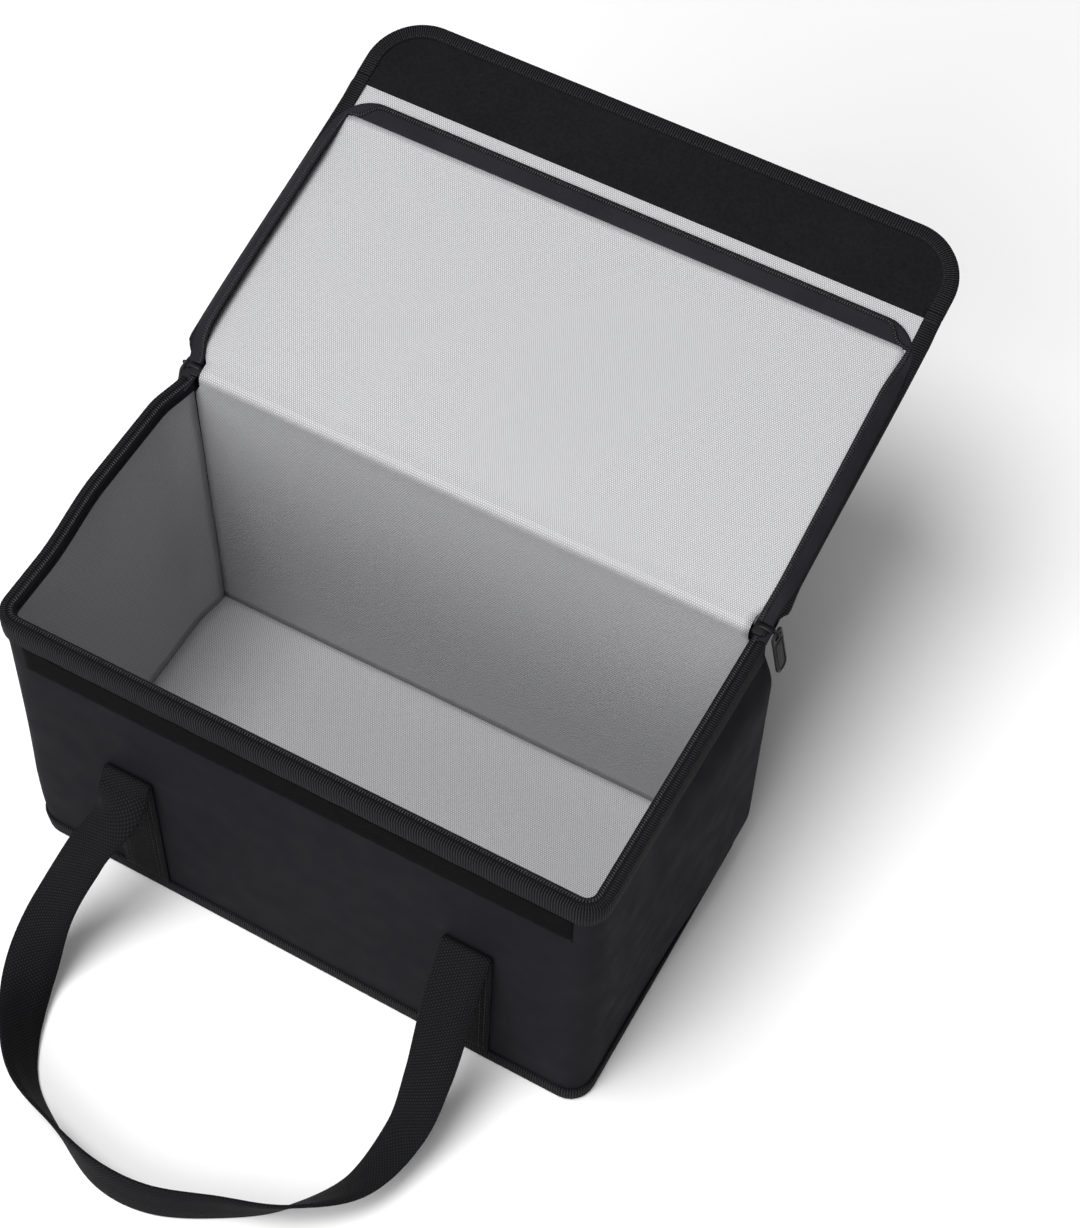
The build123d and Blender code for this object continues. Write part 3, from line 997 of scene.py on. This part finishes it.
def make_hinge_fold():
    """The outer fabric from the back wall to the lid, which the lid turns on."""
    line = [(96.4, 214.0), (96.4, 219.5), (96.7, 222.4), (98.2, 224.2), (101.5, 224.6), (106.0, 224.3)]
    end = lid_point(0.0, np.array([14, 18]) * MM, -5.9 * MM)[:, 1:]
    line = catmull_rom(np.concatenate([np.array(line) * MM, end]), 4)
    half = np.interp(line[:, 0], (104 * MM, 110 * MM), (170.2 * MM, 180 * MM))
    fold = grid_piece("hinge_fold", along_x(half[:, None] * np.linspace(-1, 1, 61), line), OXFORD)
    thicken(fold, 1.0 * MM, 0.0)
    tuple(lid_point(0.0, 11 * MM, -5.5 * MM))
    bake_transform(fold)
    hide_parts("hinge_strip")


def rounded_end(half, start, end, radius, rows, arc_rows):
    """Places along a part of the lid with rounded far corners, and half its width at each."""
    straight = np.linspace(start, end - radius, rows)
    turn = np.linspace(0, 0.5 * math.pi, arc_rows)[1:] * 0.97
    v = np.concatenate([straight, end - radius + radius * np.sin(turn)])
    return v, corner_half_width(v, half, end, radius)


def slab_points(v, half, low, high, columns):
    """A slab of the lid as rings of points: the lower face, then the upper face back again."""
    share = np.linspace(-1, 1, columns)
    x = half[:, None] * np.concatenate([share, share[::-1]])
    w = np.concatenate([np.full(columns, low), np.full(columns, high)])
    return lid_point(x, v[:, None], w), np.stack(np.broadcast_arrays(x, v[:, None]), -1)


def sheet_points(v, half, w):
    """A thin sheet at one height over the lid, and its flat places."""
    x = half[:, None] * np.linspace(-1, 1, 61)
    v = np.broadcast_to(v[:, None], x.shape)
    return lid_point(x, v, w), np.stack([x, v], -1)


def make_lid_shell():
    """The padded lid under its lining: fabric and foam, swollen a little on its outer face."""
    v, half = rounded_end(180.5 * MM, 11.2 * MM, LID_PAD_END - 0.5 * MM, LID_RADIUS, 30, 9)
    points, flat = slab_points(v, half, -5.8 * MM, -1.2 * MM, 62)
    shell = grid_piece("lid_shell", points, OXFORD, ring=True, caps=True, flat=flat)
    place = vertex_array(shell) - np.array(HINGE)
    v, w = place @ np.array(LID_UP), place @ np.array(LID_NORMAL)
    edge = (abs(place[:, 0]) > 174 * MM) | (v < 20 * MM) | (v > 180 * MM)
    swell(shell, edge | (w > -3 * MM), pressure=4.0, limit=3.0 * MM)
    put_on_body(shell, "lid", "outer_fabric", "lid_outer", "lid_padding")


# The fold bends over these 5 mm of the lid's length, between its rigid sides.
FOLD_START = tuple(lid_point(0.0, 194 * MM, 0.0))
FOLD_END = tuple(lid_point(0.0, 199 * MM, 0.0))


def make_flap_sheet(name, v, half, w, material):
    """One sheet of the flap, which crosses the fold from the lid."""
    points, flat = sheet_points(v, half, w)
    sheet = grid_piece(name, points, material, flat=flat)
    thicken(sheet, SHEET, 0.0)
    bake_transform(sheet)
    return sheet


def make_flap_sheets():
    """The flap's outer fabric and its grey lining."""
    radius = FLAP_RADIUS - 3 * MM
    v, half = rounded_end(182.5 * MM, 186.5 * MM, FLAP_END - 2 * MM, radius, 12, 13)
    cover = make_flap_sheet("flap_cover", v, half, -1.6 * MM, OXFORD)
    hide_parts("flap_outer")
    v, half = rounded_end(182 * MM, 170 * MM, FLAP_END - 2.5 * MM, radius, 17, 13)
    lining = make_flap_sheet("flap_lining_sheet", v, half, -0.55 * MM, LINING_CLOTH)
    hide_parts("flap_lining", "lid_front_web")


def make_hook_panel():
    """The black half of the touch fastener, over most of the flap and narrower at its fold."""
    end, radius = FLAP_END - 5.5 * MM, FLAP_RADIUS - 6 * MM
    v, half = rounded_end(179.5 * MM, HOOK_START, end, radius, 16, 9)
    half = half - 4 * MM * rise(v, 203, 200)
    points, flat = slab_points(v, half, 0.0, 1.2 * MM, 120)
    panel = grid_piece("hook_panel", points, HOOK, ring=True, caps=True, flat=flat)
    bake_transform(panel)
    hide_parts("flap_hook_panel")


def binding_profile(width, top, bottom):
    """Tape folded round an edge: its upper leg, the bend and its lower leg."""
    middle = (top + bottom) / 2

    def leg(face, out):
        return [
            (-width, face - out * 0.35 * MM), (-width + 0.5 * MM, face),
            (-width / 2, face + out * 0.15 * MM), (-1.6 * MM, face), (-0.5 * MM, face - out * 0.5 * MM),
        ]

    return np.array(leg(top, 1) + [(-0.1 * MM, middle)] + leg(bottom, -1)[::-1])


def pinch_at_fold(v):
    """How thick an edge tape still is at v: it thins down towards the line the flap turns on."""
    return 0.1 + 0.9 * rise(np.abs(v - FLAP_HINGE), 0, 3.4)


def make_flap_binding():
    """Ribbed tape folded round the flap's edge."""
    route = lid_route(LID_EDGE, FLAP_HINGE + 1.2 * MM, FLAP_END, FLAP_RADIUS, 3 * MM)
    profile = np.tile(binding_profile(9 * MM, 1.7 * MM, -2.5 * MM), (len(route.points), 1, 1))
    profile[..., 1] *= pinch_at_fold(route.points[:, 1])[:, None]
    binding = grid_piece("flap_binding_tape", swept_points(route, profile, lid_point), BINDING)
    thicken(binding, TAPE_SHEET, 0.0)
    put_on_body(binding, "flap", "binding", "flap_binding")
    for face, w in (("upper", 2.0 * MM), ("lower", -2.8 * MM)):
        line = swept_points(route, [(-7.6 * MM, w)], lid_point)[:, 0]
        line = line[route.points[:, 1] > FLAP_HINGE + 3.5 * MM]
        out = np.array(LID_NORMAL) * (1 if w > 0 else -1)
        stitches = stitch_piece("flap_" + face + "_stitches", [(line, out)])
        stitches.parent = binding


def make_fold_bindings():
    """The edge tape where it crosses the fold."""
    v = np.linspace(191 * MM, 202.5 * MM, 16)
    profile = binding_profile(8.8 * MM, 1.5 * MM, -2.3 * MM)
    for side, name in ((-1, "left"), (1, "right")):
        x = side * (LID_EDGE - 0.15 * MM + profile[:, 0])
        rows = [lid_point(x, place, profile[:, 1]) for place in v]
        tape = grid_piece(name + "_fold_binding", rows, BINDING)
        thicken(tape, TAPE_SHEET, 0.0)
        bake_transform(tape)


def make_side_bindings():
    """Ribbed tape folded round the lid's left and right edges."""
    v = np.concatenate([np.linspace(5.5 * MM, 192 * MM, 62), np.linspace(193 * MM, 195.4 * MM, 5)])
    wide = (3.6 + 5.4 * rise(v, 140, 154) - 1.6 * rise(v, 14, 8)) * MM
    thin = rise(v, 184, 192)
    top = (0.8 + 0.9 * thin) * MM
    bottom = (4.7 * rise(v, 14, 8) - 6.3 + 3.8 * thin) * MM
    for side, name in ((-1, "left"), (1, "right")):
        edge = LID_EDGE - 3.4 * MM * rise(v, 13, 4)
        if side > 0:
            edge = edge - 1.5 * MM * rise(v, 170, 20) * rise(v, 7.2, 31.2)
        rows = []
        for i, place in enumerate(v):
            profile = binding_profile(wide[i], top[i], bottom[i])
            profile[:, 1] *= pinch_at_fold(place)
            rows.append(lid_point(side * (edge[i] + profile[:, 0]), place, profile[:, 1]))
        binding = grid_piece(name + "_side_binding", rows, BINDING)
        thicken(binding, TAPE_SHEET, 0.0)
        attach(binding, "lid")
        if side > 0:
            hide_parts("lid_side_bindings")


def lid_tape_edges():
    """The lid zipper's tape at each point of its route: its inner and its outer edge, as distance
    out and height. Along the sides its inner edge stands up; in front it lies flat."""
    route = lid_route(LID_HALF_WIDTH, 0.3 * MM, LID_PAD_END, LID_TAPE_RADIUS, 2.0 * MM)
    v = route.points[:, 1]
    stands = rise(v, 178, 140)[:, None]
    clear = rise(v, 4, 26)[:, None]
    on_side = smoothstep(np.abs(route.normals[:, :1]))
    to_front = 9.5 / np.maximum(route.normals[:, 1], 1e-3)
    to_side = 17.5 / np.maximum(np.abs(route.normals[:, 0]), 1e-3)
    flat_inner = np.minimum(to_front, to_side) - LID_TAPE_RADIUS / MM
    flat_inner = np.stack([flat_inner, np.full_like(flat_inner, 0.5)], 1)
    side_inner = (1 - clear) * np.array((-9.8, 2.1)) + clear * np.array((-8.0, 7.3))
    side_outer = (1 - clear) * np.array((-0.6, 0.7)) + clear * np.array((1.6, 1.1))
    inner = (1 - stands) * flat_inner + stands * side_inner
    outer = (1 - stands) * np.array((-0.8, 0.9)) + stands * side_outer
    return route, inner * MM, outer * MM, on_side


def make_lid_zipper():
    """The other half of the zipper, round the lid's edge: its tape, a little bowed, and its coil."""
    route, inner, outer, on_side = lid_tape_edges()
    share = np.linspace(0, 1, 7)
    along = inner - outer
    width = np.linalg.norm(along, axis=1)[:, None]
    inward = along / width
    facing = np.stack([inward[:, 1], -inward[:, 0]], 1)
    bow = 0.7 * MM * np.sin(math.pi * share)[None, :, None] * facing[:, None]
    profile = outer[:, None] + along[:, None] * share[None, :, None]
    profile = profile + bow * rise(inner[:, 1], 0, 8)[:, None, None]
    tape = grid_piece("lid_tape", swept_points(route, profile, lid_point), TAPE)
    thicken(tape, TAPE_SHEET, 0.0)
    from_edge = on_side * 1.7 * MM + (1 - on_side) * (width - 2.2 * MM)
    centre = inner - from_edge * inward + 0.9 * MM * facing
    centres = swept_points(route, centre[:, None], lid_point)[:, 0]
    tip = swept_points(route, (centre + 1 * MM * inward)[:, None], lid_point)[:, 0]
    top = swept_points(route, (centre + 1 * MM * facing)[:, None], lid_point)[:, 0]
    across, up = (tip - centres) / MM, (top - centres) / MM
    coil = coil_piece("lid_coil", centres, across, up, 1.7 * MM)
    anchor = tuple(lid_point(0.0, 0.0, 0.0))
    for piece, slot in ((tape, "zipper_tape"), (coil, "zipper_teeth")):
        put_on_body(piece, "lid", slot, "lid_" + slot)
        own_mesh(piece)


def make_tape_bridges():
    """Where the zipper tape runs down from the lid's edge to the rim, beside the hinge."""
    on_rim = [(177.6, 80.0, 221.8), (177.6, 87.0, 222.1), (177.5, 93.0, 222.6), (177.5, 101.5, 223.3)]
    on_rim = np.array(on_rim + [(177.6, 104.6, 226.2)]) * MM
    on_lid = np.array([(178.0, 12.0, 0.7), (178.6, 18.0, 0.8)]) * MM
    for side, name in ((-1, "left"), (1, "right")):
        lid_part = lid_point(side * on_lid[:, 0], on_lid[:, 1], on_lid[:, 2])
        centres = catmull_rom(np.concatenate([on_rim * (side, 1, 1), lid_part]), 6)
        across = np.broadcast_to((1.0, 0.0, 0.0), centres.shape)
        points = ribbon_points(centres, across, ribbon_section(8.4 * MM, 1.1 * MM))
        bridge = grid_piece(name + "_tape_bridge", points, TAPE, ring=True, caps=True)
        tuple(lid_point(side * 0.178, 12 * MM, 0.0))
        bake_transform(bridge)


# ---------------------------------------------------------------- handles
# The front loop's route in mm: x, y, z of its middle, and how far it has turned from lying flat.
# It keeps within 8 mm of the CAD's loop. Its first and last points start the fold over the top
# of the sewn leg.
HANDLE_ROUTE = [
    (-107, -96.9, 117.5, 0), (-107, -97.4, 120.6, 0), (-107, -98.9, 121.3, 0), (-107, -100.6, 119.5, 0),
    (-107, -114, 101, 0), (-118, -134, 77, 0), (-127.5, -162, 43, 0), (-126.5, -190, 17, 24),
    (-112.5, -220.5, 13.2, 50), (-93, -243, 14.5, 66), (-62, -258, 15.5, 82), (-28, -269, 15.5, 97),
    (5, -267.5, 15.5, 98), (40, -253, 15.5, 90), (72, -235, 14.6, 70), (98, -206, 12.2, 44),
    (107.5, -171, 21, 26), (109, -145, 51, 13), (107, -117, 93, 0), (107, -100.6, 119.5, 0),
    (107, -98.9, 121.3, 0), (107, -97.4, 120.6, 0), (107, -96.9, 117.5, 0),
]


def handle_ribbon():
    """The middle line of the front handle and the direction of its width."""
    rows = catmull_rom(HANDLE_ROUTE, 12)
    centres, turns = resample(rows[:, :3] * MM, 2.5 * MM, rows[:, 3:])
    along = tangents(centres)
    level = np.cross(along, (0.0, 0.0, 1.0))
    level /= np.maximum(np.linalg.norm(level, axis=1)[:, None], 1e-9)
    near_fold = np.abs(centres[:, 2] - FOLD_Z) < 6 * MM
    level[near_fold] = np.where(centres[near_fold, :1] < 0, -1.0, 1.0) * np.array((1.0, 0.0, 0.0))
    turn = np.radians(turns)
    return centres, np.cos(turn) * level + np.sin(turn) * np.cross(level, along)


def make_handles():
    """Both webbing loops. The back one mirrors the front one."""
    centres, across = handle_ribbon()
    for face, name in ((1, "front_handle"), (-1, "back_handle")):
        flip = np.array((1.0, face, 1.0))
        points = ribbon_points(centres * flip, across * flip, ribbon_section(WEB_WIDTH, WEB))
        handle = grid_piece(name + "_webbing", points, WEBBING, ring=True, caps=True)
        put_on_body(handle, name, "webbing", name)


# ---------------------------------------------------------------- sliders and pulls
def bevelled_plate(name, outline, normal_axis, low, high, bevel, material, holes=()):
    """A plate cut to an outline, with holes, and its edges rounded. The outline is in the plane
    across normal_axis, in axis order."""
    curve = bpy.data.curves.new(name, "CURVE")
    curve.dimensions = "2D"
    curve.fill_mode = "BOTH"
    curve.extrude = (high - low) / 2 - bevel
    curve.bevel_depth = bevel
    curve.bevel_resolution = 3
    curve.offset = -bevel
    for loop in (outline, *holes):
        spline = curve.splines.new("POLY")
        spline.points.add(len(loop) - 1)
        for point, (a, b) in zip(spline.points, loop):
            point.co = (a, b, 0.0, 1.0)
        spline.use_cyclic_u = True
    maker = bpy.data.objects.new(name + "_outline", curve)
    mesh = bpy.data.meshes.new_from_object(maker)
    bpy.data.objects.remove(maker)
    middle = (low + high) / 2
    co = np.array([v.co for v in mesh.vertices], float)
    order = {"x": (2, 0, 1), "z": (0, 1, 2)}[normal_axis]
    co[:, 2] += middle
    mesh.vertices.foreach_set("co", co[:, order].astype(np.float32).ravel())
    mesh.materials.clear()
    mesh.materials.append(material)
    mesh.polygons.foreach_set("use_smooth", [True] * len(mesh.polygons))
    piece = new_object(name, mesh)
    turn_outwards(piece, weld=1e-6)
    return piece


def rounded_loop(low_a, high_a, low_b, high_b, radii, steps=6):
    """A rectangle's outline with its own radius at each corner, from (low, low) round to (low, high)."""
    corners = [(low_a, low_b, 1, 1, math.pi), (high_a, low_b, -1, 1, 1.5 * math.pi)]
    corners += [(high_a, high_b, -1, -1, 0.0), (low_a, high_b, 1, -1, 0.5 * math.pi)]
    loop = []
    for (a, b, turn_a, turn_b, start), radius in zip(corners, radii):
        for angle in np.linspace(start, start + 0.5 * math.pi, steps):
            out_a, out_b = turn_a + math.cos(angle), turn_b + math.sin(angle)
            loop.append((a + radius * out_a, b + radius * out_b))
    return loop


def mirrored(piece, side):
    """Moves a part drawn for the right side over to the left, where side is -1."""
    if side < 0:
        co = vertex_array(piece)
        co[:, 0] *= -1
        set_vertices(piece, co)
        piece.data.flip_normals()
    return piece


def wire_piece(name, line, section, material):
    """A bent bar of rounded section along a smooth line."""
    centres = catmull_rom(line, 8)
    across = np.broadcast_to((0.0, 1.0, 0.0), centres.shape)
    return grid_piece(name, ribbon_points(centres, across, section), material, ring=True, caps=True)


# In mm from the slider's middle: the right half of its plate from tail to nose, then the notch.
# Then the bar's height over its length, from inside to outside.
SLIDER_SIDE = [(2.6, -6.0), (3.1, 0.0), (4.3, 3.5), (3.2, 5.6), (1.4, 6.0)]
SLIDER_NOTCH = (0.0, 4.4)
SLIDER_ARCH = [
    (173.6, 224.8), (174.2, 225.4), (176.2, 225.75),
    (178.8, 225.7), (180.9, 225.1), (182.1, 224.1),
]


def make_slider(side, name):
    """A zipper slider: a plate over the coil, a cheek on each side, and a bar out to the pull."""
    y = (slider_low.y + slider_high.y) / 2
    left = [(-a, b) for a, b in reversed(SLIDER_SIDE)]
    outline = left[-1:] + SLIDER_SIDE + [SLIDER_NOTCH] + left[:-1]
    outline = [(SLIDER_X + a * MM, y + b * MM) for a, b in outline]
    top = SLIDER_Z + SLIDER_PLATE
    body = bevelled_plate(name + "_body", outline, "z", SLIDER_Z, top, 0.35 * MM, PAINT)
    mirrored(body, side)
    put_on_body(body, name, "slider", name)
    parts = {}
    for label, middle in (("inner_cheek", SLIDER_X - 3.3 * MM), ("outer_cheek", SLIDER_X + 3.3 * MM)):
        loop = rounded_loop(
            middle - 0.8 * MM, middle + 0.8 * MM, y - 5 * MM, y + 4.5 * MM, (0.6 * MM,) * 4, 3
        )
        cheek_low, cheek_high = SLIDER_Z - 0.85 * MM, SLIDER_Z + 0.4 * MM
        parts[label] = bevelled_plate(name + "_cheek", loop, "z", cheek_low, cheek_high, 0.25 * MM, PAINT)
    bridge_line = [(x * MM, y, z * MM) for x, z in SLIDER_ARCH]
    bar = ribbon_section(4.4 * MM, 1.1 * MM)
    parts["bridge"] = wire_piece(name + "_bridge", bridge_line, bar, PAINT)
    for label, part in parts.items():
        mirrored(part, side)
        part.name = name + "_" + label
        part.parent = body


def leaned(piece, pivot_x, pivot_z):
    """Turns a part drawn hanging straight down about its pivot, so it leans outwards."""
    co = vertex_array(piece)
    out, down = co[:, 0] - pivot_x, co[:, 2] - pivot_z
    co[:, 0] = pivot_x + out * math.cos(PULL_LEAN) - down * math.sin(PULL_LEAN)
    co[:, 2] = pivot_z + down * math.cos(PULL_LEAN) + out * math.sin(PULL_LEAN)
    set_vertices(piece, co)
    return piece


def pull_outline(y, half, low, high, low_radius, high_radius, steps=6):
    """A rounded outline about y. Its half width and radii are in mm."""
    radii = [radius * MM for radius in (low_radius, low_radius, high_radius, high_radius)]
    return rounded_loop(y - half * MM, y + half * MM, low, high, radii, steps)


def make_pull(side, name):
    """The tab hanging from a slider: rounded end, raised rim, a slot at its top and a ring in it."""
    y = (pull_low.y + pull_high.y) / 2
    pivot_x, pivot_z = PULL_PIVOT
    low, high = pivot_z - PULL_LENGTH, pivot_z + 0.8 * MM
    outline = pull_outline(y, 5.4, low, high, 4.2, 2.2)
    slot_hole = pull_outline(y, 3.2, high - 4.2 * MM, high - 1.8 * MM, 1.1, 1.1, 5)
    face = pivot_x + 0.8 * MM
    back = face - PULL_THICKNESS
    tab = bevelled_plate(name + "_tab", outline, "x", back, face, 0.5 * MM, TAB, (slot_hole[::-1],))
    rim = pull_outline(y, 4.1, low + 1.4 * MM, high - 7 * MM, 3.2, 1.0)
    inside = pull_outline(y, 3.3, low + 2.2 * MM, high - 7.8 * MM, 2.5, 0.6)[::-1]
    back, front = face - 0.4 * MM, face + 0.5 * MM
    ridge = bevelled_plate(name + "_ridge", rim, "x", back, front, 0.2 * MM, TAB, (inside,))
    angle = np.linspace(0, 2 * math.pi, 25)[:-1]
    out = np.stack([np.cos(angle), np.zeros(24), np.sin(angle)], 1)
    centres = np.array((pivot_x, y, pivot_z)) + RING_RADIUS * out
    section = RING_WIRE * ring_section(8, out, np.broadcast_to((0.0, 1.0, 0.0), out.shape))
    link = grid_piece(name + "_link", centres[:, None] + section, TAB, ring=True, loop=True)
    for piece in (tab, ridge, link):
        mirrored(leaned(piece, pivot_x, pivot_z), side)
    turn_outwards(link)
    put_on_body(tab, name, "pull", name)
    ridge.parent = tab
    link.parent = tab


# ---------------------------------------------------------------- the scene
make_camera()
make_floor()
make_lights()
make_body_shell()
make_base_panel()
make_side_lining()
make_base_lining()
make_base_band()
make_rim_band()
make_rim_tape()
make_rim_coil()
make_loop_strip()
for anchor_side in (-1, 1):
    for anchor_face in (-1, 1):
        make_anchor(anchor_side, anchor_face)
make_lid_shell()
make_back_and_lid_lining()
make_hinge_fold()
make_flap_sheets()
make_hook_panel()
make_flap_binding()
make_side_bindings()
make_fold_bindings()
make_lid_zipper()
make_tape_bridges()
make_handles()
for slider_side, slider_name in ((1, "right"), (-1, "left")):
    make_slider(slider_side, slider_name + "_slider")
    make_pull(slider_side, slider_name + "_pull")
